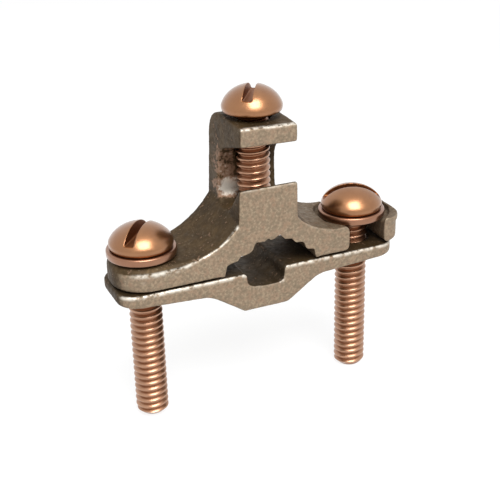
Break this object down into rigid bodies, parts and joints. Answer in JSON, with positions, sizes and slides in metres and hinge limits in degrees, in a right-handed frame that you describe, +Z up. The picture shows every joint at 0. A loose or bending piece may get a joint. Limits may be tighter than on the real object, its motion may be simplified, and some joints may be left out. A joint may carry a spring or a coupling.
{
  "type": "rebar ground clamp",
  "caption": "Cast two-jaw ground clamp with an open wire lug, for bonding a grounding wire to reinforcing bar, rod or small pipe.",
  "frame": {"origin": "middle of the rod's seat: half way between the two clamp screws, on the lower jaw's upper face, half way through the castings' depth", "axes": "+X from the left clamp screw to the right one, +Y along the clamped rod towards the back, +Z up to the wire lug; the wire runs along X"},
  "size_m": [0.0576, 0.0144, 0.0615],
  "materials": {
    "upper_jaw": "as-cast bronze, matte, darker on the sides",
    "lower_jaw": "as-cast bronze, matte",
    "washers": "copper-coloured, satin",
    "screws": "copper-coloured, satin with soft highlights"
  },
  "bodies": {
    "upper": {"upper_jaw": "upper_jaw"},
    "left_washer_body": {"left_washer": "washers"},
    "left_screw_body": {"left_clamp_screw": "screws"},
    "lower": {"lower_jaw": "lower_jaw"},
    "right_washer_body": {"right_washer": "washers"},
    "right_screw_body": {"right_clamp_screw": "screws"},
    "wire_screw_body": {"wire_screw": "screws"}
  },
  "joints": [
    {"name": "jaw_swing", "type": "hinge", "parent": "upper", "child": "left_washer_body", "pos_m": [-0.0215, 0, 0], "axis": [0, 0, 1], "range_deg": [-340, 0]},
    {"name": "left_screw_turn", "type": "hinge", "parent": "left_washer_body", "child": "left_screw_body", "pos_m": [-0.0215, 0, 0], "axis": [0, 0, 1], "range_deg": [0, 6480]},
    {"name": "jaw_travel", "type": "slide", "parent": "left_washer_body", "child": "lower", "axis": [0, 0, -1], "range_m": [0, 0.02286]},
    {"name": "right_screw_travel", "type": "slide", "parent": "lower", "child": "right_washer_body", "axis": [0, 0, 1], "range_m": [0, 0.02286]},
    {"name": "right_screw_turn", "type": "hinge", "parent": "right_washer_body", "child": "right_screw_body", "pos_m": [0.0215, 0, 0], "axis": [0, 0, 1], "range_deg": [0, 6480]},
    {"name": "wire_screw_travel", "type": "slide", "parent": "upper", "child": "wire_screw_body", "axis": [0, 0, 1], "range_m": [-0.0008, 0.0107]}
  ],
  "couplings": [
    {"joint": "left_screw_turn", "follows": "jaw_travel", "rad_per_m": 4947.4},
    {"joint": "right_screw_travel", "follows": "jaw_travel", "ratio": 1},
    {"joint": "right_screw_turn", "follows": "jaw_travel", "rad_per_m": 4947.4}
  ]
}
